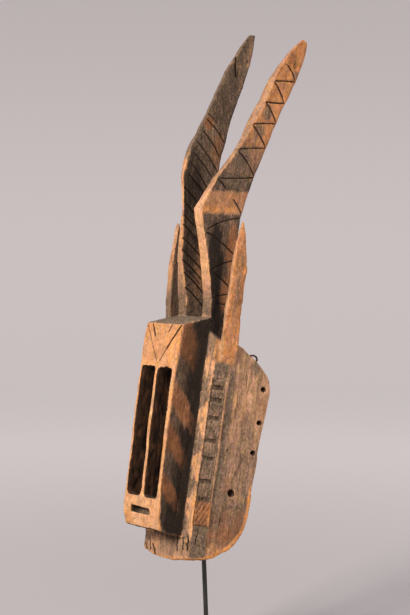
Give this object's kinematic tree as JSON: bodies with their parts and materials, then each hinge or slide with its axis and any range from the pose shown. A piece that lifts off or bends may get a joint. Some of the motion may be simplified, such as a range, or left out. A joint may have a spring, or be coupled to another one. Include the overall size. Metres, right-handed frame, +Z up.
{
  "type": "carved wooden mask on a stand",
  "caption": "Tall carved wooden antelope mask with a box-shaped face, eye slots, ears and long curved horns, held upright on a dark steel rod with a square foot.",
  "frame": {"origin": "centre of the base plate's underside", "axes": "+Z up, -Y towards the viewer the mask faces, +X to that viewer's right"},
  "size_m": [0.18, 0.2394, 0.8499],
  "materials": {
    "carved_wood": "worn, dry, with faded dark and red-brown paint",
    "leather_cord": "dry and dark",
    "dark_steel": "satin black"
  },
  "bodies": {
    "root": {"wallu_mask": "carved_wood", "tie_loop": "leather_cord", "stand_rod": "dark_steel", "stand_base": "dark_steel"}
  },
  "joints": []
}
